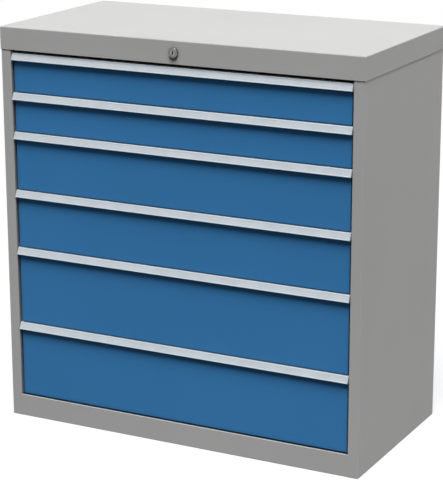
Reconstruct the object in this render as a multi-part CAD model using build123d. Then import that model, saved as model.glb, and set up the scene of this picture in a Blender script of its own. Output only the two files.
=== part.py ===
from build123d import *
import math
import os

# Steel drawer cabinet: a folded carcass under a capped top, six drawers on telescopic runners,
# an aluminium grip along the top of each drawer front, and one lock that bars every drawer.
# Millimetres, +Z up. The front faces -Y and the origin is the middle of the footprint.

# Whole cabinet
CABINET_WIDTH = 982.0
CABINET_DEPTH = 497.0
SHALLOW_HEIGHT = 100.0
MEDIUM_HEIGHT = 150.0
TALL_HEIGHT = 200.0
DRAWER_HEIGHTS = (SHALLOW_HEIGHT, SHALLOW_HEIGHT, MEDIUM_HEIGHT, MEDIUM_HEIGHT, TALL_HEIGHT, TALL_HEIGHT)
CUT_OVERRUN = 1.0
RUNNING_FIT = 0.05

# Top cover: a cap whose skirt hangs over the carcass
COVER_SHEET = 1.5
COVER_SKIRT = 57.0
COVER_EDGE_RADIUS = 2.5

# Side panels, folded into a front stile with its jamb and into a rear flange
CARCASS_SHEET = 1.5
BEND_RADIUS = 1.0
STILE_WIDTH = 28.0
JAMB_DEPTH = 22.0
REAR_FLANGE = 20.0

# Rear panel and the rivets that hold it to the rear flanges
REAR_SHEET = 1.0
RIVET_SHANK = 4.8
RIVET_FIT = 0.1
RIVET_HEAD = 9.0
RIVET_HEAD_RISE = 1.2
RIVET_TAIL = 2.0
RIVET_END_DISTANCE = 92.0
RIVETS_PER_SIDE = 6

# Base tray with floor anchor holes
BASE_SHEET = 1.5
BASE_FLANGE = 20.0
ANCHOR_HOLE = 11.0
ANCHOR_INSET_ACROSS = 63.0
ANCHOR_INSET_DEEP = 64.75

# Plinth rail under the lowest drawer
PLINTH_HEIGHT = 58.0
PLINTH_GAP = 0.8
LOWEST_DRAWER_DROP = 4.0
HEM_DEPTH = 15.0
HEM_GAP = 0.8
HEM_RADIUS = 0.25

# Top rails that tie the side panels together under the cover
RAIL_SETBACK = 2.0
RAIL_DEPTH = 30.0

# Drawer fronts, folded pans set back from the stiles
FRONT_RECESS = 6.5
FRONT_DEPTH = 18.0
FRONT_SHEET = 1.2
FRONT_EDGE_RADIUS = 2.0
FRONT_SIDE_GAP = 4.2
FRONT_GAP = 2.0

# Grips: a seat over the front's top edge and a sloped face with a label groove
GRIP_GAP = 8.0
GRIP_WALL = 2.0
GRIP_DROP = 17.0
GRIP_LIP_PROUD = 4.0
GRIP_EDGE_STEP = 2.5
GRIP_SEAT_DEPTH = 13.0
GRIP_LIP_ROUND_SHARE = 0.45
GROOVE_MARGIN = 2.4
GROOVE_DEPTH = 0.6
CAP_THICKNESS = 2.5

# Drawer trays
TRAY_SHEET = 1.2
TRAY_RISE = 4.0
TRAY_DROP = 14.0
TRAY_PLATE_FIT = 0.2

# Telescopic runners: cabinet, middle and drawer members, one channel inside the next
RUNNER_HEIGHT = 45.0
RUNNER_RISE = 31.0
RUNNER_SHEET = 1.8
RUNNER_PLAY = 0.4
RUNNER_INSET = 2.0
JAMB_CLEARANCE = 0.8
CABINET_MEMBER_DEPTH = 10.0
MIDDLE_MEMBER_DEPTH = 10.5
DRAWER_MEMBER_DEPTH = 11.5

# Posts between the side panels and the cabinet members
POST_WIDTH = 30.0
POST_INSET = 4.0

# Lock in the cover's front skirt
LOCK_RISE = 28.5
LOCK_FLANGE = 25.0
LOCK_FLANGE_RISE = 6.5
LOCK_FLANGE_ROUND = 2.5
LOCK_BARREL = 20.0
LOCK_BARREL_REACH = 24.0
LOCK_HOLE_FIT = 0.1
LOCK_NUT_WIDTH = 27.0
LOCK_NUT_HEIGHT = 5.0
PLUG = 16.0
PLUG_RECESS = 0.4
PLUG_TAIL = 7.0
PLUG_TAIL_REACH = 12.0
KEYWAY_WIDTH = 3.2
KEYWAY_HEIGHT = 9.0
KEYWAY_DEPTH = 15.0

# Spindle from the lock to the back, with the crank that lifts the locking bar
SPINDLE = 10.0
SPINDLE_GAP = 0.6
BUSH_WALL = 2.5
BUSH_FLANGE = 20.0
BUSH_FLANGE_HEIGHT = 2.0
RAIL_TO_CRANK = 6.0
CRANK_RADIUS = 14.0
CRANK_WIDTH = 17.0
CRANK_SHEET = 4.0
CRANK_GAP = 2.0
CRANK_START_ANGLE = 45.0
CRANK_PIN = 6.0
CRANK_PIN_OVERHANG = 2.0

# Locking bar behind the drawers, its guides, and the lugs that its hooks catch
BAR_WIDTH = 36.0
BAR_SHEET = 2.5
BAR_GAP = 3.0
BAR_END = 12.0
BAR_SLOT_PLAY = 0.6
HOOK_SHEET = 3.0
HOOK_CLEARANCE = 5.0
HOOK_TOP_GAP = 1.0
HOOK_PASS_GAP = 5.0
HOOK_ARM_GAP = 2.0
LUG_REACH = 14.0
LUG_SHEET = 2.0
LUG_DROP = 8.0
GUIDE_PLAY = 0.4
GUIDE_WALL = 2.2
GUIDE_BACK = 12.0
GUIDE_HEIGHT = 20.0
GUIDE_DROP = 10.0
GUIDED_DRAWERS = (0, 2, 4)

# Places worked out from the sizes above
stack_top = PLINTH_HEIGHT + LOWEST_DRAWER_DROP + sum(DRAWER_HEIGHTS)
cabinet_height = stack_top + COVER_SKIRT
carcass_top = cabinet_height - COVER_SHEET
carcass_half = CABINET_WIDTH / 2 - COVER_SHEET
side_inner = carcass_half - CARCASS_SHEET
back_plane = CABINET_DEPTH / 2 - COVER_SHEET
front_plane = -back_plane
opening_half = carcass_half - STILE_WIDTH
weld_line = opening_half + CARCASS_SHEET + BEND_RADIUS
rear_face = back_plane - CARCASS_SHEET - REAR_SHEET

front_half = opening_half - FRONT_SIDE_GAP
panel_face = front_plane + FRONT_RECESS
tray_front = panel_face + FRONT_DEPTH
tray_back = rear_face - GUIDE_BACK - BAR_SHEET - BAR_GAP - LUG_REACH
runner_front = front_plane + max(JAMB_DEPTH, FRONT_RECESS + FRONT_DEPTH) + RUNNER_INSET

middle_outer = opening_half - JAMB_CLEARANCE
middle_inner = middle_outer - MIDDLE_MEMBER_DEPTH
middle_height = RUNNER_HEIGHT - 2 * (RUNNER_SHEET + RUNNER_PLAY)
member_outer = middle_outer - RUNNER_SHEET - RUNNER_PLAY
member_height = middle_height - 2 * (RUNNER_SHEET + RUNNER_PLAY)
tray_half = member_outer - DRAWER_MEMBER_DEPTH
cabinet_web = middle_outer + RUNNER_PLAY
cabinet_outer = cabinet_web + RUNNER_SHEET

rail_bottom = stack_top + RAIL_SETBACK
lock_height = stack_top + LOCK_RISE
skirt_face = -CABINET_DEPTH / 2
barrel_back = front_plane + LOCK_BARREL_REACH
bar_front = tray_back + LUG_REACH + BAR_GAP
bar_back = bar_front + BAR_SHEET
crank_back = bar_front - CRANK_GAP
crank_front = crank_back - CRANK_SHEET
rear_rail_back = crank_front - RAIL_TO_CRANK
pin_side = CRANK_RADIUS * math.cos(math.radians(CRANK_START_ANGLE))
pin_drop = CRANK_RADIUS * math.sin(math.radians(CRANK_START_ANGLE))
bar_lift = 2 * pin_drop
lug_lip = bar_lift + HOOK_TOP_GAP - HOOK_PASS_GAP
hook_rise = lug_lip + HOOK_ARM_GAP - HOOK_TOP_GAP
bar_middle = -(CRANK_RADIUS + pin_side) / 2


class DrawerPlace:
    """Heights of one drawer's pieces, from the top and bottom of its space in the stack."""

    def __init__(self, space_top, space_bottom):
        self.grip_top = space_top - GRIP_GAP
        self.panel_top = self.grip_top - GRIP_WALL
        self.panel_bottom = max(space_bottom - GRIP_GAP + FRONT_GAP, PLINTH_HEIGHT + PLINTH_GAP)
        self.tray_top = self.panel_top - TRAY_DROP
        self.tray_bottom = self.panel_bottom + TRAY_RISE
        self.runner_middle = self.tray_bottom + RUNNER_RISE
        self.lug_top = self.tray_top - LUG_DROP
        self.hook_tip = self.lug_top - LUG_SHEET - HOOK_TOP_GAP - bar_lift
        self.hook_bottom = self.hook_tip - hook_rise - HOOK_SHEET


def drawer_places():
    """The drawers from top to bottom."""
    places = []
    space_top = stack_top
    for height in DRAWER_HEIGHTS:
        places.append(DrawerPlace(space_top, space_top - height))
        space_top -= height
    return places


def block(across, deep, up):
    """A box between the two places given on each axis."""
    spans = (across, deep, up)
    middle = [(low + high) / 2 for low, high in spans]
    size = [high - low for low, high in spans]
    return Pos(*middle) * Box(*size)


def rod(place, diameter, deep):
    """A round bar along Y, centred on an (x, z) place."""
    front, back = deep
    middle = Pos(place[0], (front + back) / 2, place[1])
    return middle * Rot(90, 0, 0) * Cylinder(diameter / 2, back - front)


def both_sides(right):
    """A right-hand piece and its mirrored left-hand twin."""
    return right + mirror(right, about=Plane.YZ)


def folded_section(corners, sheet, bend=BEND_RADIUS):
    """Section of a sheet that is folded at the given corners of its middle line."""
    line = FilletPolyline(*corners, radius=bend + sheet / 2)
    return trace(line, line_width=sheet)


def folded_along_x(corners, sheet, half_length, bend=BEND_RADIUS):
    """A folded sheet whose (y, z) section runs across the cabinet."""
    section = Plane.YZ * folded_section(corners, sheet, bend)
    return extrude(section, amount=half_length, both=True)


def rivet_places():
    """The (x, z) places of the rivets through the two rear flanges."""
    across = carcass_half - REAR_FLANGE / 2
    step = (carcass_top - 2 * RIVET_END_DISTANCE) / (RIVETS_PER_SIDE - 1)
    heights = [RIVET_END_DISTANCE + row * step for row in range(RIVETS_PER_SIDE)]
    return [(side * across, height) for side in (-1, 1) for height in heights]


def rivet_holes():
    """Cuts for the rivet shanks through flange and rear panel."""
    deep = (rear_face - CUT_OVERRUN, back_plane + CUT_OVERRUN)
    return [rod(place, RIVET_SHANK + 2 * RIVET_FIT, deep) for place in rivet_places()]


def top_cover():
    """Cap with a skirt all round and the lock's hole in its front."""
    half_width = CABINET_WIDTH / 2
    half_depth = CABINET_DEPTH / 2
    cap = block((-half_width, half_width), (-half_depth, half_depth), (stack_top, cabinet_height))
    rim = cap.faces().sort_by(Axis.Z)[0].edges()
    cap = fillet([edge for edge in cap.edges() if edge not in rim], COVER_EDGE_RADIUS)
    hollow = block((-carcass_half, carcass_half), (front_plane, back_plane),
                   (stack_top - CUT_OVERRUN, carcass_top))
    hole = rod((0, lock_height), LOCK_BARREL + 2 * LOCK_HOLE_FIT,
               (skirt_face - CUT_OVERRUN, front_plane + CUT_OVERRUN))
    return cap - hollow - hole


def right_side():
    """Side panel with its stile, jamb and rear flange in one folded sheet, notched for the plinth rail."""
    half = CARCASS_SHEET / 2
    jamb = opening_half + half
    face = carcass_half - half
    corners = [
        (jamb, front_plane + JAMB_DEPTH),
        (jamb, front_plane + half),
        (face, front_plane + half),
        (face, back_plane - half),
        (carcass_half - REAR_FLANGE, back_plane - half),
    ]
    notch = block((opening_half - CUT_OVERRUN, weld_line),
                  (front_plane - CUT_OVERRUN, front_plane + JAMB_DEPTH + CUT_OVERRUN),
                  (-CUT_OVERRUN, PLINTH_HEIGHT))
    return extrude(folded_section(corners, CARCASS_SHEET), amount=carcass_top) - notch


def rear_panel():
    """Back sheet between the side panels' bends, riveted to the rear flanges from inside."""
    half = side_inner - BEND_RADIUS
    return block((-half, half), (rear_face, rear_face + REAR_SHEET), (0, carcass_top))


def rear_rivets():
    """Rivets with a domed head outside and a spread tail inside."""
    rivets = Part()
    for place in rivet_places():
        shank = rod(place, RIVET_SHANK, (rear_face - RIVET_TAIL, back_plane + RIVET_HEAD_RISE))
        head = rod(place, RIVET_HEAD, (back_plane, back_plane + RIVET_HEAD_RISE))
        rim = head.edges().group_by(Axis.Y)[-1]
        rivets += shank + chamfer(rim, RIVET_HEAD_RISE / 2)
    return rivets


def base_tray():
    """Floor sheet with upturned flanges at front and back, and four anchor holes."""
    front = front_plane + JAMB_DEPTH
    tray = block((-side_inner, side_inner), (front, rear_face), (0, BASE_FLANGE))
    tray -= block((-side_inner - CUT_OVERRUN, side_inner + CUT_OVERRUN),
                  (front + BASE_SHEET, rear_face - BASE_SHEET), (BASE_SHEET, BASE_FLANGE + CUT_OVERRUN))
    hole = Cylinder(ANCHOR_HOLE / 2, 2 * (BASE_SHEET + CUT_OVERRUN))
    across = side_inner - ANCHOR_INSET_ACROSS
    rows = (front + ANCHOR_INSET_DEEP, rear_face - ANCHOR_INSET_DEEP)
    return tray - [Pos(x, y, 0) * hole for x in (-across, across) for y in rows]


def plinth_rail():
    """Front rail welded between the stiles, hemmed along its top and folded back along its foot."""
    half = CARCASS_SHEET / 2
    face = front_plane + half
    leaf = face + CARCASS_SHEET + HEM_GAP
    corners = [
        (front_plane + JAMB_DEPTH, half),
        (face, half),
        (face, PLINTH_HEIGHT - half),
        (leaf, PLINTH_HEIGHT - half),
        (leaf, PLINTH_HEIGHT - HEM_DEPTH),
    ]
    return folded_along_x(corners, CARCASS_SHEET, weld_line, HEM_RADIUS)


def top_rail(web_face, flange_end, half_length):
    """Channel under the cover: its web stands at web_face, its flanges reach to flange_end."""
    half = math.copysign(CARCASS_SHEET / 2, flange_end - web_face)
    rise = CARCASS_SHEET / 2
    corners = [
        (flange_end, rail_bottom + rise),
        (web_face + half, rail_bottom + rise),
        (web_face + half, carcass_top - rise),
        (flange_end, carcass_top - rise),
    ]
    return folded_along_x(corners, CARCASS_SHEET, half_length)


def top_front_rail():
    """Rail behind the skirt, which the lock passes through."""
    rail = top_rail(front_plane, front_plane + RAIL_DEPTH, opening_half)
    return rail - rod((0, lock_height), LOCK_BARREL + 2 * LOCK_HOLE_FIT,
                      (front_plane - CUT_OVERRUN, front_plane + CARCASS_SHEET + CUT_OVERRUN))


def top_rear_rail():
    """Rail that carries the back end of the lock's spindle."""
    rail = top_rail(rear_rail_back, rear_rail_back - RAIL_DEPTH, side_inner)
    return rail - rod((0, lock_height), SPINDLE + 2 * BUSH_WALL,
                      (rear_rail_back - CARCASS_SHEET - CUT_OVERRUN, rear_rail_back + CUT_OVERRUN))


def runner_posts():
    """Four channels that stand between the side panels and the cabinet members."""
    half = CARCASS_SHEET / 2
    web = cabinet_outer + half
    posts = Part()
    for front in (runner_front + POST_INSET, tray_back - POST_INSET - POST_WIDTH):
        corners = [
            (side_inner, front + half),
            (web, front + half),
            (web, front + POST_WIDTH - half),
            (side_inner, front + POST_WIDTH - half),
        ]
        post = extrude(folded_section(corners, CARCASS_SHEET), amount=stack_top - BASE_FLANGE)
        posts += both_sides(Pos(0, 0, BASE_FLANGE) * post)
    return posts


def channel(inner, outer, middle, height, web_outside):
    """Runner member: a channel along Y with its web on the outer or the inner side."""
    deep = (runner_front, tray_back)
    open_deep = (runner_front - CUT_OVERRUN, tray_back + CUT_OVERRUN)
    hollow_half = height / 2 - RUNNER_SHEET
    hollow = (inner - CUT_OVERRUN, outer - RUNNER_SHEET)
    if not web_outside:
        hollow = (inner + RUNNER_SHEET, outer + CUT_OVERRUN)
    member = block((inner, outer), deep, (middle - height / 2, middle + height / 2))
    return member - block(hollow, open_deep, (middle - hollow_half, middle + hollow_half))


def cabinet_members(places):
    """The runner members that stay in the cabinet."""
    members = Part()
    for place in places:
        inner = cabinet_web - CABINET_MEMBER_DEPTH
        members += both_sides(channel(inner, cabinet_outer, place.runner_middle, RUNNER_HEIGHT, True))
    return members


def middle_members(place):
    """The pair of members that travel half as far as the drawer."""
    return both_sides(channel(middle_inner, middle_outer, place.runner_middle, middle_height, True))


def drawer_members(place):
    """The pair of members on the tray's sides."""
    return both_sides(channel(tray_half, member_outer, place.runner_middle, member_height, False))


def drawer_front(place):
    """Front panel: a pan with rounded edges, open to the back."""
    up = (place.panel_bottom, place.panel_top)
    pan = block((-front_half, front_half), (panel_face, tray_front), up)
    back = pan.faces().sort_by(Axis.Y)[-1].edges()
    pan = fillet([edge for edge in pan.edges() if edge not in back], FRONT_EDGE_RADIUS)
    inner_half = front_half - FRONT_SHEET
    return pan - block((-inner_half, inner_half), (panel_face + FRONT_SHEET, tray_front + CUT_OVERRUN),
                       (up[0] + FRONT_SHEET, up[1] - FRONT_SHEET))


def drawer_tray(place):
    """Open box behind the front, with a plate that closes the front's back and a lock lug."""
    deep = (tray_front - TRAY_SHEET, tray_back)
    up = (place.tray_bottom, place.tray_top)
    tray = block((-tray_half, tray_half), deep, up)
    plate_inset = FRONT_SHEET + TRAY_PLATE_FIT
    plate_half = front_half - plate_inset
    tray += block((-plate_half, plate_half), (deep[0], tray_front),
                  (place.panel_bottom + plate_inset, place.panel_top - plate_inset))
    inner_half = tray_half - TRAY_SHEET
    tray -= block((-inner_half, inner_half), (tray_front, tray_back - TRAY_SHEET),
                  (up[0] + TRAY_SHEET, up[1] + CUT_OVERRUN))
    lug_across = (bar_middle - BAR_WIDTH / 2, bar_middle + BAR_WIDTH / 2)
    lug_back = tray_back + LUG_REACH
    lug_under = place.lug_top - LUG_SHEET
    tray += block(lug_across, (tray_back, lug_back), (lug_under, place.lug_top))
    tray += block(lug_across, (lug_back - LUG_SHEET, lug_back), (lug_under - lug_lip, place.lug_top))
    return tray


class GripOutline:
    """Corner points of a grip's section, as (y, z) of its own plane."""

    def __init__(self, place):
        self.top = place.grip_top
        self.under = place.grip_top - GRIP_WALL
        self.seat_back = panel_face + GRIP_SEAT_DEPTH
        self.edge = Vector(panel_face - GRIP_EDGE_STEP, self.top)
        self.lip = Vector(front_plane - GRIP_LIP_PROUD, self.top - GRIP_DROP)
        self.down = (self.lip - self.edge).normalized()
        self.inward = Vector(-self.down.Y, self.down.X)
        self.inner_lip = self.lip + self.inward * GRIP_WALL
        rise = (self.under - self.inner_lip.Y) / -self.down.Y
        self.root = self.inner_lip - self.down * rise


def grip(place):
    """Extruded grip with a rounded lip and a shallow label groove in its sloped face."""
    outline = GripOutline(place)
    seat_under = Vector(outline.seat_back, outline.under)
    seat_top = Vector(outline.seat_back, outline.top)
    section = make_face(Polyline(outline.edge, outline.lip, outline.inner_lip, outline.root,
                                 seat_under, seat_top, close=True))
    lip_corners = section.vertices().sort_by(Axis.Y)[:2]
    section = fillet(lip_corners, GRIP_LIP_ROUND_SHARE * GRIP_WALL)
    groove_top = outline.edge + outline.down * GROOVE_MARGIN
    groove_end = outline.lip - outline.down * GROOVE_MARGIN
    sink = outline.inward * GROOVE_DEPTH
    lift = outline.inward * -CUT_OVERRUN
    section -= make_face(Polyline(groove_top + lift, groove_end + lift, groove_end + sink,
                                  groove_top + sink, close=True))
    return extrude(Plane.YZ * section, amount=front_half, both=True)


def grip_caps(place):
    """End caps that close the grip's hollow at both ends."""
    outline = GripOutline(place)
    section = make_face(Polyline(
        outline.edge,
        outline.lip,
        outline.inner_lip,
        Vector(panel_face, outline.inner_lip.Y),
        Vector(panel_face, outline.under),
        Vector(outline.seat_back, outline.under),
        Vector(outline.seat_back, outline.top),
        close=True,
    ))
    cap = extrude(Plane.YZ * section, amount=CAP_THICKNESS)
    return both_sides(Pos(front_half, 0, 0) * cap)


def lock_housing():
    """Flanged lock body in the skirt."""
    axis = (0, lock_height)
    flange = rod(axis, LOCK_FLANGE, (skirt_face - LOCK_FLANGE_RISE, skirt_face))
    flange = fillet(flange.edges().group_by(Axis.Y)[0], LOCK_FLANGE_ROUND)
    barrel = rod(axis, LOCK_BARREL, (skirt_face - LOCK_FLANGE_RISE / 2, barrel_back))
    bore = rod(axis, PLUG + 2 * RUNNING_FIT,
               (skirt_face - LOCK_FLANGE_RISE - CUT_OVERRUN, barrel_back + CUT_OVERRUN))
    return flange + barrel - bore


def lock_nut():
    """Hexagon nut that draws the lock against the rail."""
    seat = front_plane + CARCASS_SHEET
    hexagon = RegularPolygon(LOCK_NUT_WIDTH / 2, 6, major_radius=False)
    nut = extrude(Plane.XZ.offset(-seat) * hexagon, amount=-LOCK_NUT_HEIGHT)
    deep = (seat - CUT_OVERRUN, seat + LOCK_NUT_HEIGHT + CUT_OVERRUN)
    return Pos(0, 0, lock_height) * nut - rod((0, lock_height), LOCK_BARREL + 2 * LOCK_HOLE_FIT, deep)


def lock_plug():
    """Turning plug with an upright keyway and a tail."""
    axis = (0, lock_height)
    face = skirt_face - LOCK_FLANGE_RISE + PLUG_RECESS
    plug = rod(axis, PLUG, (face, barrel_back))
    plug += rod(axis, PLUG_TAIL, (barrel_back, barrel_back + PLUG_TAIL_REACH))
    return plug - block((-KEYWAY_WIDTH / 2, KEYWAY_WIDTH / 2), (face - CUT_OVERRUN, face + KEYWAY_DEPTH),
                        (lock_height - KEYWAY_HEIGHT / 2, lock_height + KEYWAY_HEIGHT / 2))


def lock_spindle():
    """Long bar that carries the plug's turn to the back of the cabinet."""
    axis = (0, lock_height)
    front = barrel_back + SPINDLE_GAP
    socket = rod(axis, PLUG_TAIL + 2 * RUNNING_FIT,
                 (front - CUT_OVERRUN, barrel_back + PLUG_TAIL_REACH + RUNNING_FIT))
    return rod(axis, SPINDLE, (front, crank_back)) - socket


def spindle_bush():
    """Flanged bush in the rear rail."""
    axis = (0, lock_height)
    web_front = rear_rail_back - CARCASS_SHEET
    front = web_front - BUSH_FLANGE_HEIGHT
    bush = rod(axis, SPINDLE + 2 * BUSH_WALL, (front, rear_rail_back))
    bush += rod(axis, BUSH_FLANGE, (front, web_front))
    return bush - rod(axis, SPINDLE + 2 * RUNNING_FIT, (front - CUT_OVERRUN, rear_rail_back + CUT_OVERRUN))


def lock_crank():
    """Crank on the spindle's end, with the pin that rides in the bar's slot."""
    arm = SlotCenterToCenter(CRANK_RADIUS, CRANK_WIDTH)
    arm = Pos(-CRANK_RADIUS / 2, 0, 0) * extrude(arm, amount=CRANK_SHEET)
    arm = Pos(0, crank_back, lock_height) * Rot(90, 0, 0) * Rot(0, 0, CRANK_START_ANGLE) * arm
    pin = rod((-pin_side, lock_height - pin_drop), CRANK_PIN,
              (crank_front, bar_back + CRANK_PIN_OVERHANG))
    seat = rod((0, lock_height), SPINDLE + 2 * RUNNING_FIT,
               (crank_front - CUT_OVERRUN, crank_back + CUT_OVERRUN))
    return arm + pin - seat


def locking_bar(places):
    """Upright bar behind the drawers, with a hook for each lug and the slot for the crank's pin."""
    across = (bar_middle - BAR_WIDTH / 2, bar_middle + BAR_WIDTH / 2)
    slot_height = lock_height - pin_drop
    bar = block(across, (bar_front, bar_back), (places[-1].hook_bottom - BAR_END, slot_height + BAR_END))
    hook_front = tray_back + HOOK_CLEARANCE
    for place in places:
        bar += block(across, (hook_front, bar_front), (place.hook_bottom, place.hook_bottom + HOOK_SHEET))
        bar += block(across, (hook_front, hook_front + HOOK_SHEET), (place.hook_bottom, place.hook_tip))
    slot_width = CRANK_PIN + 2 * BAR_SLOT_PLAY
    slot = extrude(SlotCenterToCenter(CRANK_RADIUS - pin_side, slot_width),
                   amount=BAR_SHEET / 2 + CUT_OVERRUN, both=True)
    middle = Pos(bar_middle, (bar_front + bar_back) / 2, slot_height)
    return bar - middle * Rot(90, 0, 0) * slot


def bar_guides(places):
    """Guide blocks on the rear panel that the bar slides through."""
    half = BAR_WIDTH / 2
    outer = half + GUIDE_PLAY + GUIDE_WALL
    guides = Part()
    for number in GUIDED_DRAWERS:
        top = places[number].hook_bottom - GUIDE_DROP
        up = (top - GUIDE_HEIGHT, top)
        guide = block((bar_middle - outer, bar_middle + outer),
                      (bar_front - GUIDE_PLAY - GUIDE_WALL, rear_face), up)
        guide -= block((bar_middle - half - GUIDE_PLAY, bar_middle + half + GUIDE_PLAY),
                       (bar_front - GUIDE_PLAY, bar_back + GUIDE_PLAY),
                       (up[0] - CUT_OVERRUN, up[1] + CUT_OVERRUN))
        guides += guide
    return guides


def carcass_nodes(places):
    """The pieces that stand still, by node name."""
    holes = rivet_holes()
    side = right_side()
    return {
        "top_cover": top_cover(),
        "right_side_panel": side - holes,
        "left_side_panel": mirror(side, about=Plane.YZ) - holes,
        "rear_panel": rear_panel() - holes,
        "rear_rivets": rear_rivets(),
        "base_tray": base_tray(),
        "plinth_rail": plinth_rail(),
        "top_front_rail": top_front_rail(),
        "top_rear_rail": top_rear_rail(),
        "runner_posts": runner_posts(),
        "cabinet_runner_members": cabinet_members(places),
        "bar_guides": bar_guides(places),
        "lock_housing": lock_housing(),
        "lock_nut": lock_nut(),
        "spindle_bush": spindle_bush(),
    }


def lock_nodes(places):
    """The pieces that the key moves, by node name."""
    return {
        "lock_plug": lock_plug(),
        "lock_spindle": lock_spindle(),
        "lock_crank": lock_crank(),
        "locking_bar": locking_bar(places),
    }


def drawer_nodes(places):
    """The pieces of every drawer and its runners, by node name."""
    nodes = {}
    for number, place in enumerate(places, start=1):
        nodes[f"drawer_{number}_front"] = drawer_front(place)
        nodes[f"drawer_{number}_tray"] = drawer_tray(place)
        nodes[f"drawer_{number}_grip"] = grip(place)
        nodes[f"drawer_{number}_grip_caps"] = grip_caps(place)
        nodes[f"drawer_{number}_runner_members"] = drawer_members(place)
        nodes[f"middle_{number}_runner_members"] = middle_members(place)
    return nodes


def main():
    """Write one STEP file for each node."""
    os.makedirs("parts", exist_ok=True)
    places = drawer_places()
    nodes = carcass_nodes(places) | lock_nodes(places) | drawer_nodes(places)
    for name, shape in nodes.items():
        export_step(shape, f"parts/{name}.step")


main()
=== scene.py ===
import math

import bmesh
import bpy
from mathutils import Matrix, Vector


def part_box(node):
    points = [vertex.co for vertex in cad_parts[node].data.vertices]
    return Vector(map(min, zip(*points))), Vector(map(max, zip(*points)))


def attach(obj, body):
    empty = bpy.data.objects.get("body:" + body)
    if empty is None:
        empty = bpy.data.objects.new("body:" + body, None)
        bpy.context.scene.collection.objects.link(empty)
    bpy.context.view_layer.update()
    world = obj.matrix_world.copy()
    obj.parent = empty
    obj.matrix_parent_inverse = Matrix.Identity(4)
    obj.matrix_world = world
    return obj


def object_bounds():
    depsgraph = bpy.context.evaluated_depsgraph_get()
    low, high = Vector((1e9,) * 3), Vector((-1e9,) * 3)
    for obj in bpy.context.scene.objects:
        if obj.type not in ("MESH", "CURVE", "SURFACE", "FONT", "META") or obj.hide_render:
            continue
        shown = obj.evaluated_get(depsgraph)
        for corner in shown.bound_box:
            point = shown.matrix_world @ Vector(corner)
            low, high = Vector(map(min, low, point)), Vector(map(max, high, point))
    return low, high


# Looks of a steel drawer cabinet: powder coats, anodised grips, plated runners and small fittings.
# Metres and degrees, +Z up. The front faces -Y and the origin is the middle of the footprint.

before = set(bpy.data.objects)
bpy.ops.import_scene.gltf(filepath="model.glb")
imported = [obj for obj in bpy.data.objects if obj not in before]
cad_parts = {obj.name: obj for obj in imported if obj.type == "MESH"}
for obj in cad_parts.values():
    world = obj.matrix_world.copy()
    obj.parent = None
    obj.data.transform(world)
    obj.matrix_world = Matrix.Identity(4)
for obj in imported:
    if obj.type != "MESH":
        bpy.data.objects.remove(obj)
cad_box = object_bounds()

MM = 0.001
DRAWER_COUNT = 6
DRAWERS = range(1, DRAWER_COUNT + 1)
SIDES = (-1, 1)
RIGHT_ANGLE = 90.0

# Sizes that the fittings share with the solids that carry them
GRIP_EDGE_SETBACK = 8.0 * MM
GRIP_DROP = 17.0 * MM
GRIP_SEAT = 15.5 * MM
GROOVE_MARGIN = 2.4 * MM
GROOVE_DEPTH = 0.6 * MM
TRAY_HALF = 447.0 * MM
TRAY_DROP = 16.0 * MM
MEMBER_SHEET = 1.8 * MM

# Label strips in the grips' grooves
STRIP_SIDE_GAP = 0.25 * MM
STRIP_THICKNESS = 0.42 * MM
STRIP_EDGE = 0.12 * MM
STRIP_END_GAP = 0.4 * MM

# Rivets through the grips' seats, with a dished head around a broken stem
GRIP_RIVETS = 5
RIVET_RADIUS = 4.0 * MM
RIVET_RISE = 1.1 * MM
RIVET_END = 60.0 * MM
RIVET_RADIUS_SHARES = (1.0, 0.96, 0.80, 0.55, 0.45, 0.30, 0.15)
RIVET_RISE_SHARES = (0.0, 0.35, 0.75, 1.0, 1.0, 0.55, 0.60)

# Rolled rims of the trays
RIM_RADIUS = 2.0 * MM
RIM_SHIFT = 0.2 * MM
RIM_SEGMENTS = 16

# Screws that hold the drawer members to the trays, with a pan head around a recess
MEMBER_SCREWS = 5
SCREW_RADIUS = 4.2 * MM
SCREW_RISE = 2.0 * MM
SCREW_END = 38.0 * MM
SCREW_RADIUS_SHARES = (1.0, 1.0, 0.86, 0.60, 0.50, 0.30)
SCREW_RISE_SHARES = (0.0, 0.45, 0.85, 1.0, 1.0, 0.35)

# Moulded bumpers in the front ends of the middle members
BUMPER_LENGTH = 25.0 * MM
BUMPER_THICKNESS = 7.2 * MM
BUMPER_GAP = 0.8 * MM
BUMPER_NOSE = 1.2 * MM
BUMPER_SLOT_DEPTH = 2.6 * MM
BUMPER_SLOT_SHARE = 0.36

# Meshes of the fittings
HEAD_SEGMENTS = 24
SHARP_ANGLE = 35.0

# Colours in linear light
CARCASS_GREY = (0.560, 0.560, 0.556)
DRAWER_BLUE = (0.054, 0.250, 0.565)
TRAY_GREY = (0.50, 0.51, 0.51)
GRIP_ALUMINIUM = (0.622, 0.685, 0.731)
CAP_GREY = (0.551, 0.608, 0.649)
RUNNER_ZINC = (0.55, 0.56, 0.58)
MECHANISM_ZINC = (0.50, 0.50, 0.50)
LOCK_NICKEL = (0.19, 0.19, 0.19)
PLUG_NICKEL = (0.27, 0.27, 0.265)
RIVET_ALUMINIUM = (0.68, 0.68, 0.68)
GUIDE_BLACK = (0.03, 0.03, 0.03)
WHITE = (1.0, 1.0, 1.0, 1.0)

# Values that the finishes share: a whole range, the band that most noise lies in, and samples per test
WHOLE = (0.0, 1.0)
NOISE_BAND = (0.3, 0.7)
EDGE_SAMPLES = 6
CORNER_SAMPLES = 8

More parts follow.
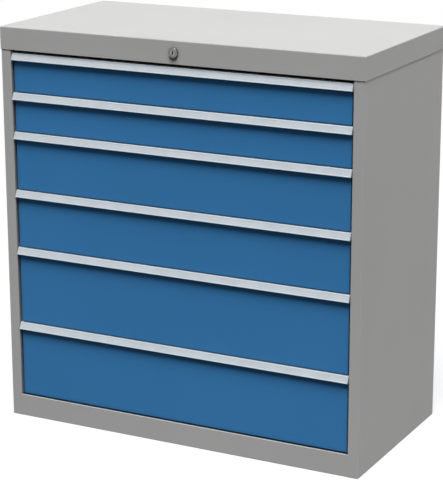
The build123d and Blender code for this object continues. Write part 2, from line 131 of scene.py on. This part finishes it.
# Powder coats: clouds, orange peel, specks and worn edges, at scales in cycles per metre
COAT_CLOUD = {"scale": 2.4, "detail": 4.0}
COAT_CLOUD_TONE_SHARES = (0.965, 1.035)
COAT_PEEL = {"scale": 620.0, "detail": 2.0, "roughness": 0.6}
COAT_SPECK = {"scale": 2600.0, "detail": 1.0}
COAT_SPECK_BAND = (0.55, 0.75)
COAT_SPECK_COVER = (0.0, 0.10)
COAT_SPECK_TONE_SHARE = 0.80
COAT_EDGE = {"radius": 1.6 * MM, "full_at": 0.72}
COAT_WEAR_BAND = (0.35, 0.7)
COAT_WEAR_COVER = (0.10, 0.5)
COAT_WEAR_TONE_SHARE = 1.05
COAT_ROUGHNESS_STEPS = (-0.05, 0.06)
COAT_RELIEF = {"strength": 0.22, "distance": 0.12 * MM, "rounding": 0.7 * MM}

# Painted shade in the corners of the coats, where other pieces close a place in, fading out towards the
# foot
CORNER_SHADE_REACH = 16.0 * MM
CORNER_SHADE_OPENNESS = 0.30
CORNER_SHADE_TONE_SHARE = 0.45
CORNER_SHADE_FOOT = (15.0 * MM, 30.0 * MM)
# Painted shade, deeper still, on up-facing ledges in those corners
LEDGE_SHADE_SLOPE = (0.1, 0.6)
LEDGE_SHADE_TONE_SHARE = 0.15

# Drawn metal: fine lines along the axis with the least scale, and clouds
DRAWN_LINES = {"scale": 60.0, "detail": 4.0, "roughness": 0.65}
DRAWN_LINES_COVER = (0.0, 0.6)
DRAWN_CLOUD = {"scale": 5.0, "detail": 3.0}
DRAWN_CLOUD_COVER = (0.0, 0.4)
DRAWN_TONE_SHARES = (0.95, 1.05)
DRAWN_EDGE = {"radius": 0.7 * MM, "full_at": 0.75}
DRAWN_EDGE_TONE_SHARE = 1.15
DRAWN_ROUGHNESS_STEPS = (-0.06, 0.08)
DRAWN_RELIEF = {"strength": 0.15, "distance": 0.05 * MM, "rounding": 0.3 * MM}
LINES_ACROSS = (0.02, 12.0, 12.0)
LINES_LEVEL = (1.0, 1.0, 14.0)
LINES_UPRIGHT = (6.0, 6.0, 1.0)

# Zinc plate: crystals and dull clouds
ZINC_CRYSTAL_SCALE = 210.0
ZINC_CRYSTAL_SHARE = 0.35
ZINC_CLOUD = {"scale": 14.0, "detail": 5.0, "roughness": 0.6}
ZINC_TONE_BAND = (0.2, 0.8)
ZINC_TONE_SHARES = (0.82, 1.12)
ZINC_EDGE = {"radius": 0.8 * MM, "full_at": 0.75}
ZINC_EDGE_TONE_SHARE = 1.25
ZINC_ROUGHNESS_STEPS = (-0.09, 0.10)
ZINC_RELIEF = {"strength": 0.12, "distance": 0.1 * MM, "rounding": 0.4 * MM}
ZINC_METALLIC = 0.9

# Moulded plastic: spark-eroded grain and faint clouds
PLASTIC_GRAIN = {"scale": 1500.0, "detail": 2.0}
PLASTIC_CLOUD = {"scale": 30.0, "detail": 3.0}
PLASTIC_TONE_SHARES = (0.95, 1.05)
PLASTIC_EDGE = {"radius": 0.6 * MM, "full_at": 0.75}
PLASTIC_EDGE_TONE_SHARE = 1.12
PLASTIC_ROUGHNESS_STEPS = (-0.05, 0.08)
PLASTIC_RELIEF = {"strength": 0.2, "distance": 0.08 * MM, "rounding": 0.3 * MM}

# Sockets of a colour mix, by number because the other kinds of mix share their names
MIX_INPUTS = (0, 6, 7)
MIX_OUTPUT = 2

# Camera, fitted to the photograph's edges
CAMERA_PLACE = (2.0892, -4.0373, 1.7303)
CAMERA_TURN = 27.393
CAMERA_TILT = 15.495
CAMERA_ROLL = -0.134
CAMERA_LENS = 138.81
CAMERA_SENSOR = 36.0

# Light: a broad key from high in front and a little to the right, a low lamp from behind on the right,
# another from the left and a little behind, and an even sky
LAMPS = {
    "key": {"turn": 17.0, "height": 66.0, "strength": 3.56, "spread": 32.0},
    "side": {"turn": 130.0, "height": 8.0, "strength": 1.38, "spread": 40.0},
    "fill": {"turn": 248.0, "height": 3.0, "strength": 2.2, "spread": 30.0},
}
SKY_STRENGTH = 0.08
SEEN_STRENGTH = 1.0

# Floor: shaded near the object, dark under it, white further out, and throwing little light back
FLOOR_HALF = 30.0
FLOOR_CELLS = 4
FLOOR_BOUNCE = (0.05, 0.05, 0.05, 1.0)
FLOOR_COLOUR = (0.95, 0.95, 0.95, 1.0)
FLOOR_SHADOW_SHARE = 0.30
FLOOR_FADE = (1.1, 3.2)
FLOOR_COVERED_MARGIN = 4.0 * MM


def feed(tree, socket, value):
    """Link a socket to another one, or set it to a plain value."""
    if isinstance(value, bpy.types.NodeSocket):
        tree.links.new(value, socket)
    else:
        socket.default_value = value


def feed_all(tree, node, inputs):
    """Feed the inputs of a node by name."""
    for name, value in inputs.items():
        feed(tree, node.inputs[name], value)


def add_node(tree, kind, inputs=None, **settings):
    """A new node with its settings, and its inputs given as values or as sockets to link."""
    node = tree.nodes.new(kind)
    for name, value in settings.items():
        setattr(node, name, value)
    feed_all(tree, node, inputs or {})
    return node


def new_material(name):
    """A material with its node tree and shader."""
    material = bpy.data.materials.new(name)
    material.use_nodes = True
    tree = material.node_tree
    return material, tree, tree.nodes["Principled BSDF"]


def place_socket(tree, stretch=(1.0, 1.0, 1.0)):
    """Coordinates that travel with the piece, stretched by axis."""
    place = add_node(tree, "ShaderNodeTexCoord")
    mapping = add_node(tree, "ShaderNodeMapping", {"Vector": place.outputs["Object"], "Scale": stretch})
    return mapping.outputs["Vector"]


def noise(tree, vector, scale, detail, roughness=0.5):
    """Noise value at a scale in cycles per metre."""
    node = add_node(tree, "ShaderNodeTexNoise", {
        "Vector": vector, "Scale": scale, "Detail": detail, "Roughness": roughness})
    return node.outputs["Fac"]


def ranged(tree, value, source, target=WHOLE):
    """A value remapped from one range to another, clamped."""
    node = add_node(tree, "ShaderNodeMapRange", {
        "Value": value, "From Min": source[0], "From Max": source[1],
        "To Min": target[0], "To Max": target[1]})
    return node.outputs["Result"]


def mixed(tree, share, first, second):
    """A colour between two, by a share."""
    node = add_node(tree, "ShaderNodeMix", data_type="RGBA")
    for index, value in zip(MIX_INPUTS, (share, first, second)):
        feed(tree, node.inputs[index], value)
    return node.outputs[MIX_OUTPUT]


def blended(tree, share, first, second):
    """A shader between two, by a share."""
    node = add_node(tree, "ShaderNodeMixShader", {"Fac": share})
    for socket, shader in zip(node.inputs[1:], (first, second)):
        feed(tree, socket, shader.outputs[0])
    return node


def maths(tree, operation, *values):
    """One or two values put through one sum."""
    node = add_node(tree, "ShaderNodeMath", operation=operation)
    for socket, value in zip(node.inputs, values):
        feed(tree, socket, value)
    return node.outputs["Value"]


def scaled(colour, share):
    """A colour made lighter or darker."""
    return tuple(min(1.0, channel * share) for channel in colour) + (1.0,)


def two_tone(tree, share, colour, tone_shares):
    """A colour that drifts between a darker and a lighter tone."""
    return mixed(tree, share, *(scaled(colour, tone) for tone in tone_shares))


def stepped(value, steps):
    """A range around a value."""
    return tuple(value + step for step in steps)


def edge_share(tree, radius, full_at):
    """How near a sharp edge is, from 0 on flats to 1, by how far a rounded normal leaves the true one."""
    bevel = add_node(tree, "ShaderNodeBevel", {"Radius": radius}, samples=EDGE_SAMPLES)
    flat = add_node(tree, "ShaderNodeNewGeometry")
    dot = add_node(tree, "ShaderNodeVectorMath", {
        0: bevel.outputs["Normal"], 1: flat.outputs["Normal"]}, operation="DOT_PRODUCT")
    return ranged(tree, dot.outputs["Value"], (1.0, full_at))


def corner_shade_share(tree, place):
    """How closed in a place is by other pieces, from 0 in the open to 1 in a corner; none at the foot. It
    masks the coats' painted shade.
    """
    node = add_node(tree, "ShaderNodeAmbientOcclusion", {"Distance": CORNER_SHADE_REACH}, samples=CORNER_SAMPLES)
    closed = ranged(tree, node.outputs["AO"], (1.0, CORNER_SHADE_OPENNESS))
    height = add_node(tree, "ShaderNodeSeparateXYZ", {"Vector": place}).outputs["Z"]
    return maths(tree, "MULTIPLY", closed, ranged(tree, height, CORNER_SHADE_FOOT))


def upward_share(tree):
    """How far a surface faces up, from 0 on walls to 1 on ledges; it deepens the painted shade on ledges.
    """
    normal = add_node(tree, "ShaderNodeNewGeometry").outputs["Normal"]
    up = add_node(tree, "ShaderNodeSeparateXYZ", {"Vector": normal}).outputs["Z"]
    return ranged(tree, up, LEDGE_SHADE_SLOPE)


def bumped(tree, height, strength, distance, rounding):
    """A normal with fine relief over slightly rounded edges."""
    bevel = add_node(tree, "ShaderNodeBevel", {"Radius": rounding}, samples=EDGE_SAMPLES)
    bump = add_node(tree, "ShaderNodeBump", {
        "Height": height, "Strength": strength, "Distance": distance,
        "Normal": bevel.outputs["Normal"]})
    return bump.outputs["Normal"]


def powder_coat(name, colour, specular, roughness):
    """Satin powder coat: orange peel, faint cloudiness, worn edges, and painted shade in corners and on
    up-facing ledges.
    """
    material, tree, shader = new_material(name)
    place = place_socket(tree)
    cloud = noise(tree, place, **COAT_CLOUD)
    peel = noise(tree, place, **COAT_PEEL)
    speck = ranged(tree, noise(tree, place, **COAT_SPECK), COAT_SPECK_BAND, COAT_SPECK_COVER)
    worn = ranged(tree, peel, COAT_WEAR_BAND, COAT_WEAR_COVER)
    worn = maths(tree, "MULTIPLY", edge_share(tree, **COAT_EDGE), worn)
    # Mask of the painted shade in corners: ambient occlusion, none at the foot
    corner = corner_shade_share(tree, place)
    # Mask of the painted shade on ledges: the corner shade on up-facing surfaces
    ledge = maths(tree, "MULTIPLY", corner, upward_share(tree))
    base = two_tone(tree, ranged(tree, cloud, NOISE_BAND), colour, COAT_CLOUD_TONE_SHARES)
    base = mixed(tree, speck, base, scaled(colour, COAT_SPECK_TONE_SHARE))
    base = mixed(tree, worn, base, scaled(colour, COAT_WEAR_TONE_SHARE))
    # Painted shade: the colour darkens where other pieces close a place in
    base = mixed(tree, corner, base, scaled(colour, CORNER_SHADE_TONE_SHARE))
    # Painted shade, deeper, on up-facing ledges in corners
    base = mixed(tree, ledge, base, scaled(colour, LEDGE_SHADE_TONE_SHARE))
    feed_all(tree, shader, {
        "Base Color": base,
        "Roughness": ranged(tree, cloud, NOISE_BAND, stepped(roughness, COAT_ROUGHNESS_STEPS)),
        "Normal": bumped(tree, peel, **COAT_RELIEF),
        "Specular IOR Level": specular})
    return material


def drawn_metal(name, colour, metallic, roughness, stretch):
    """Anodised or plated metal with fine lines drawn along one axis."""
    material, tree, shader = new_material(name)
    lines = noise(tree, place_socket(tree, stretch), **DRAWN_LINES)
    cloud = noise(tree, place_socket(tree), **DRAWN_CLOUD)
    tone = maths(tree, "ADD", ranged(tree, lines, NOISE_BAND, DRAWN_LINES_COVER),
                 ranged(tree, cloud, NOISE_BAND, DRAWN_CLOUD_COVER))
    base = two_tone(tree, tone, colour, DRAWN_TONE_SHARES)
    base = mixed(tree, edge_share(tree, **DRAWN_EDGE), base, scaled(colour, DRAWN_EDGE_TONE_SHARE))
    feed_all(tree, shader, {
        "Base Color": base,
        "Roughness": ranged(tree, lines, NOISE_BAND, stepped(roughness, DRAWN_ROUGHNESS_STEPS)),
        "Normal": bumped(tree, lines, **DRAWN_RELIEF),
        "Metallic": metallic})
    return material


def zinc_plate(name, colour, roughness):
    """Bright zinc on steel, with cloudy crystals and dull patches."""
    material, tree, shader = new_material(name)
    place = place_socket(tree)
    crystals = add_node(tree, "ShaderNodeTexVoronoi", {"Vector": place, "Scale": ZINC_CRYSTAL_SCALE})
    crystal = add_node(tree, "ShaderNodeSeparateColor", {"Color": crystals.outputs["Color"]}).outputs["Red"]
    cloud = noise(tree, place, **ZINC_CLOUD)
    tone = maths(tree, "ADD", maths(tree, "MULTIPLY", crystal, ZINC_CRYSTAL_SHARE),
                 maths(tree, "MULTIPLY", cloud, 1.0 - ZINC_CRYSTAL_SHARE))
    base = two_tone(tree, ranged(tree, tone, ZINC_TONE_BAND), colour, ZINC_TONE_SHARES)
    base = mixed(tree, edge_share(tree, **ZINC_EDGE), base, scaled(colour, ZINC_EDGE_TONE_SHARE))
    feed_all(tree, shader, {
        "Base Color": base,
        "Roughness": ranged(tree, tone, ZINC_TONE_BAND, stepped(roughness, ZINC_ROUGHNESS_STEPS)),
        "Normal": bumped(tree, cloud, **ZINC_RELIEF),
        "Metallic": ZINC_METALLIC})
    return material


def moulded_plastic(name, colour, roughness):
    """Moulded plastic with a fine spark-eroded grain."""
    material, tree, shader = new_material(name)
    place = place_socket(tree)
    grain = noise(tree, place, **PLASTIC_GRAIN)
    cloud = noise(tree, place, **PLASTIC_CLOUD)
    base = two_tone(tree, ranged(tree, cloud, NOISE_BAND), colour, PLASTIC_TONE_SHARES)
    base = mixed(tree, edge_share(tree, **PLASTIC_EDGE), base, scaled(colour, PLASTIC_EDGE_TONE_SHARE))
    feed_all(tree, shader, {
        "Base Color": base,
        "Roughness": ranged(tree, grain, NOISE_BAND, stepped(roughness, PLASTIC_ROUGHNESS_STEPS)),
        "Normal": bumped(tree, grain, **PLASTIC_RELIEF)})
    return material


def all_materials():
    """One material for each of the record's slots."""
    return {
        "carcass_grey": powder_coat("carcass_grey_coat", CARCASS_GREY, specular=0.03, roughness=0.56),
        "drawer_blue": powder_coat("drawer_blue_coat", DRAWER_BLUE, specular=0.10, roughness=0.50),
        "tray_grey": powder_coat("tray_grey_coat", TRAY_GREY, specular=0.3, roughness=0.48),
        "grip_aluminium": drawn_metal("grip_anodised", GRIP_ALUMINIUM, metallic=0.35, roughness=0.45,
                                      stretch=LINES_ACROSS),
        "cap_plastic": moulded_plastic("cap_moulded", CAP_GREY, roughness=0.45),
        "runner_steel": zinc_plate("runner_zinc", RUNNER_ZINC, roughness=0.36),
        "mechanism_steel": zinc_plate("mechanism_zinc", MECHANISM_ZINC, roughness=0.42),
        "lock_metal": drawn_metal("lock_nickel", LOCK_NICKEL, metallic=0.9, roughness=0.34,
                                  stretch=LINES_LEVEL),
        "plug_metal": drawn_metal("plug_nickel", PLUG_NICKEL, metallic=0.9, roughness=0.34,
                                  stretch=LINES_LEVEL),
        "rivet_aluminium": drawn_metal("rivet_bare", RIVET_ALUMINIUM, metallic=0.8, roughness=0.38,
                                       stretch=LINES_UPRIGHT),
        "guide_plastic": moulded_plastic("guide_moulded", GUIDE_BLACK, roughness=0.5),
    }


def dress_solids(materials):
    """Give each solid the finish of its slot."""
    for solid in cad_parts.values():
        for slot in solid.material_slots:
            slot.material = materials[slot.material.name]


def add_rings(mesh, rings):
    """A closed skin through rings that have as many points each, with its two ends capped."""
    made = [[mesh.verts.new(point) for point in ring] for ring in rings]
    for first, second in zip(made, made[1:]):
        for index in range(len(first)):
            after = (index + 1) % len(first)
            mesh.faces.new((first[index], first[after], second[after], second[index]))
    mesh.faces.new(list(reversed(made[0])))
    mesh.faces.new(made[-1])


def finish_piece(mesh, name, body, slot, materials):
    """Turn a mesh into a piece that rides on a body and takes a slot's finish."""
    bmesh.ops.recalc_face_normals(mesh, faces=mesh.faces)
    data = bpy.data.meshes.new(name)
    mesh.to_mesh(data)
    mesh.free()
    data.polygons.foreach_set("use_smooth", [True] * len(data.polygons))
    data.set_sharp_from_angle(angle=math.radians(SHARP_ANGLE))
    data.materials.append(materials[slot])
    piece = bpy.data.objects.new(name, data)
    bpy.context.scene.collection.objects.link(piece)
    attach(piece, body)


def circle_points(radius, segments):
    """Points of a flat circle around zero."""
    angles = [2 * math.pi * step / segments for step in range(segments)]
    return [(radius * math.cos(angle), radius * math.sin(angle)) for angle in angles]


def evenly(low, high, count):
    """Places spread evenly from low to high."""
    return [low + (high - low) * step / (count - 1) for step in range(count)]


def label_strip(number, materials):
    """Blank strip that lies in the groove of a grip's sloped face."""
    low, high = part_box(f"drawer_{number}_grip")
    edge = Vector((0.0, low.y + GRIP_EDGE_SETBACK, high.z))
    lip = Vector((0.0, low.y, high.z - GRIP_DROP))
    down = (lip - edge).normalized()
    outward = Vector((0.0, down.z, -down.y))
    first = edge + down * (GROOVE_MARGIN + STRIP_SIDE_GAP) - outward * GROOVE_DEPTH
    last = lip - down * (GROOVE_MARGIN + STRIP_SIDE_GAP) - outward * GROOVE_DEPTH
    rise = outward * STRIP_THICKNESS
    shoulder = outward * (STRIP_THICKNESS - STRIP_EDGE)
    slope = down * STRIP_EDGE
    section = [first, last, last + shoulder, last + rise - slope, first + rise + slope, first + shoulder]
    ends = (low.x + STRIP_END_GAP, high.x - STRIP_END_GAP)
    mesh = bmesh.new()
    add_rings(mesh, [[Vector((end, point.y, point.z)) for point in section] for end in ends])
    finish_piece(mesh, f"drawer_{number}_label_strip", f"drawer_{number}", "cap_plastic", materials)


def add_head(mesh, seat, out, radii, rises):
    """A round fastener head on a seat, from its rim to its middle."""
    across = out.orthogonal().normalized()
    up = out.cross(across)
    rings = []
    for radius, rise in zip(radii, rises):
        centre = seat + out * rise
        circle = circle_points(radius, HEAD_SEGMENTS)
        rings.append([centre + across * level + up * upright for level, upright in circle])
    add_rings(mesh, rings)


def grip_rivets(number, materials):
    """Blind rivets through the seat of a grip."""
    low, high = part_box(f"drawer_{number}_grip")
    middle = low.y + GRIP_EDGE_SETBACK + GRIP_SEAT / 2
    radii = [RIVET_RADIUS * share for share in RIVET_RADIUS_SHARES]
    rises = [RIVET_RISE * share for share in RIVET_RISE_SHARES]
    mesh = bmesh.new()
    for across in evenly(low.x + RIVET_END, high.x - RIVET_END, GRIP_RIVETS):
        add_head(mesh, Vector((across, middle, high.z)), Vector((0.0, 0.0, 1.0)), radii, rises)
    finish_piece(mesh, f"drawer_{number}_grip_rivets", f"drawer_{number}", "rivet_aluminium", materials)


def tray_rim(number, materials):
    """Rolled rim along the sides and back of a tray."""
    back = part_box(f"drawer_{number}_runner_members")[1].y
    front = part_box(f"drawer_{number}_front")[1].y
    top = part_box(f"drawer_{number}_grip")[1].z - TRAY_DROP
    circle = circle_points(RIM_RADIUS, RIM_SEGMENTS)
    section = [(RIM_SHIFT + level, top + upright) for level, upright in circle]
    mesh = bmesh.new()
    add_rings(mesh, [
        [Vector((-TRAY_HALF - out, front, height)) for out, height in section],
        [Vector((-TRAY_HALF - out, back + out, height)) for out, height in section],
        [Vector((TRAY_HALF + out, back + out, height)) for out, height in section],
        [Vector((TRAY_HALF + out, front, height)) for out, height in section],
    ])
    finish_piece(mesh, f"drawer_{number}_tray_rim", f"drawer_{number}", "tray_grey", materials)


def member_screws(number, materials):
    """Pan-head screws through the drawer members into the tray."""
    low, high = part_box(f"drawer_{number}_runner_members")
    height = (low.z + high.z) / 2
    radii = [SCREW_RADIUS * share for share in SCREW_RADIUS_SHARES]
    rises = [SCREW_RISE * share for share in SCREW_RISE_SHARES]
    mesh = bmesh.new()
    for side in SIDES:
        out = Vector((side, 0.0, 0.0))
        for deep in evenly(low.y + SCREW_END, high.y - SCREW_END, MEMBER_SCREWS):
            seat = Vector((side * (TRAY_HALF + MEMBER_SHEET), deep, height))
            add_head(mesh, seat, out, radii, rises)
    finish_piece(mesh, f"drawer_{number}_runner_screws", f"drawer_{number}", "mechanism_steel", materials)


def runner_bumpers(number, materials):
    """Slotted blocks that close the front ends of the middle members, clear of the drawer members."""
    low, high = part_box(f"middle_{number}_runner_members")
    member_low, member_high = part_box(f"drawer_{number}_runner_members")
    middle = (low.z + high.z) / 2
    half = (member_high.z - member_low.z) / 2 - MEMBER_SHEET - BUMPER_GAP
    outer = high.x - MEMBER_SHEET
    slot = half * BUMPER_SLOT_SHARE
    slope = [(0.0, half), (BUMPER_THICKNESS - BUMPER_NOSE, half), (BUMPER_THICKNESS, half - BUMPER_NOSE)]
    upper = slope + [(BUMPER_THICKNESS, slot), (BUMPER_THICKNESS - BUMPER_SLOT_DEPTH, slot)]
    section = upper + [(deep, -rise) for deep, rise in reversed(upper)]
    nose_share = 1 - BUMPER_NOSE / half
    stations = ((low.y, nose_share), (low.y + BUMPER_NOSE, 1.0), (low.y + BUMPER_LENGTH, 1.0))
    mesh = bmesh.new()
    for side in SIDES:
        rings = []
        for along, share in stations:
            rings.append([Vector((side * (outer - deep * share), along, middle + rise * share))
                          for deep, rise in section])
        add_rings(mesh, rings)
    finish_piece(mesh, f"middle_{number}_runner_bumpers", f"middle_{number}", "guide_plastic", materials)


def turned(angle, axis):
    """A turn by an angle in degrees about an axis."""
    return Matrix.Rotation(math.radians(angle), 4, axis)


def add_camera():
    """Camera where the photograph was taken from."""
    data = bpy.data.cameras.new("camera")
    data.lens = CAMERA_LENS
    data.sensor_width = CAMERA_SENSOR
    camera = bpy.data.objects.new("camera", data)
    facing = turned(CAMERA_TURN, "Z") @ turned(RIGHT_ANGLE - CAMERA_TILT, "X") @ turned(CAMERA_ROLL, "Z")
    camera.matrix_world = Matrix.Translation(CAMERA_PLACE) @ facing
    bpy.context.scene.collection.objects.link(camera)
    bpy.context.scene.camera = camera


def add_lamp(name, turn, height, strength, spread):
    """Far, broad lamp: turned from the front towards the right, and raised, in degrees."""
    data = bpy.data.lights.new(name, "SUN")
    data.energy = strength
    data.angle = math.radians(spread)
    lamp = bpy.data.objects.new(name, data)
    lamp.matrix_world = turned(turn, "Z") @ turned(RIGHT_ANGLE - height, "X")
    bpy.context.scene.collection.objects.link(lamp)


def background_share(tree):
    """1 for rays that show the background itself, straight or mirrored, and 0 for rays that only light."""
    path = add_node(tree, "ShaderNodeLightPath")
    seen = maths(tree, "MAXIMUM", path.outputs["Is Camera Ray"], path.outputs["Is Glossy Ray"])
    return maths(tree, "MAXIMUM", seen, path.outputs["Is Transmission Ray"])


def add_world():
    """White surroundings to look at, softer ones to light by."""
    world = bpy.data.worlds.new("studio")
    bpy.context.scene.world = world
    world.use_nodes = True
    tree = world.node_tree
    tree.nodes.clear()
    sky = add_node(tree, "ShaderNodeBackground", {"Color": WHITE, "Strength": SKY_STRENGTH})
    seen = add_node(tree, "ShaderNodeBackground", {"Color": WHITE, "Strength": SEEN_STRENGTH})
    surroundings = blended(tree, background_share(tree), sky, seen)
    add_node(tree, "ShaderNodeOutputWorld", {"Surface": surroundings.outputs[0]})


def covered_share(tree, place):
    """1 on the floor that the object stands over, where no light comes, and 0 around it."""
    spot = add_node(tree, "ShaderNodeSeparateXYZ", {"Vector": place})
    reach = cad_box[1] - Vector((FLOOR_COVERED_MARGIN, FLOOR_COVERED_MARGIN, 0.0))
    across = maths(tree, "LESS_THAN", maths(tree, "ABSOLUTE", spot.outputs["X"]), reach.x)
    deep = maths(tree, "LESS_THAN", maths(tree, "ABSOLUTE", spot.outputs["Y"]), reach.y)
    return maths(tree, "MULTIPLY", across, deep)


def floor_material():
    """Pale floor that keeps the shadow near the object, is dark under it and turns white further out."""
    material = bpy.data.materials.new("floor")
    material.use_nodes = True
    tree = material.node_tree
    tree.nodes.clear()
    place = add_node(tree, "ShaderNodeTexCoord").outputs["Object"]
    reach = add_node(tree, "ShaderNodeVectorMath", {0: place}, operation="LENGTH").outputs["Value"]
    near_share = ranged(tree, reach, FLOOR_FADE, (FLOOR_SHADOW_SHARE, 0.0))
    shadow_share = maths(tree, "MAXIMUM", near_share, covered_share(tree, place))
    white = add_node(tree, "ShaderNodeEmission", {"Color": WHITE, "Strength": SEEN_STRENGTH})
    shaded = add_node(tree, "ShaderNodeBsdfDiffuse", {"Color": FLOOR_COLOUR})
    bounce = add_node(tree, "ShaderNodeBsdfDiffuse", {"Color": FLOOR_BOUNCE})
    seen = blended(tree, shadow_share, white, shaded)
    surface = blended(tree, background_share(tree), bounce, seen)
    add_node(tree, "ShaderNodeOutputMaterial", {"Surface": surface.outputs[0]})
    return material


def add_floor():
    """Wide floor under the object."""
    mesh = bmesh.new()
    bmesh.ops.create_grid(mesh, x_segments=FLOOR_CELLS, y_segments=FLOOR_CELLS, size=FLOOR_HALF)
    data = bpy.data.meshes.new("floor")
    mesh.to_mesh(data)
    mesh.free()
    data.materials.append(floor_material())
    floor = bpy.data.objects.new("floor", data)
    bpy.context.scene.collection.objects.link(floor)


materials = all_materials()
dress_solids(materials)
for number in DRAWERS:
    label_strip(number, materials)
    grip_rivets(number, materials)
    tray_rim(number, materials)
    member_screws(number, materials)
    runner_bumpers(number, materials)
add_camera()
for name, settings in LAMPS.items():
    add_lamp(name, **settings)
add_world()
add_floor()
bpy.context.scene.view_settings.view_transform = "Standard"
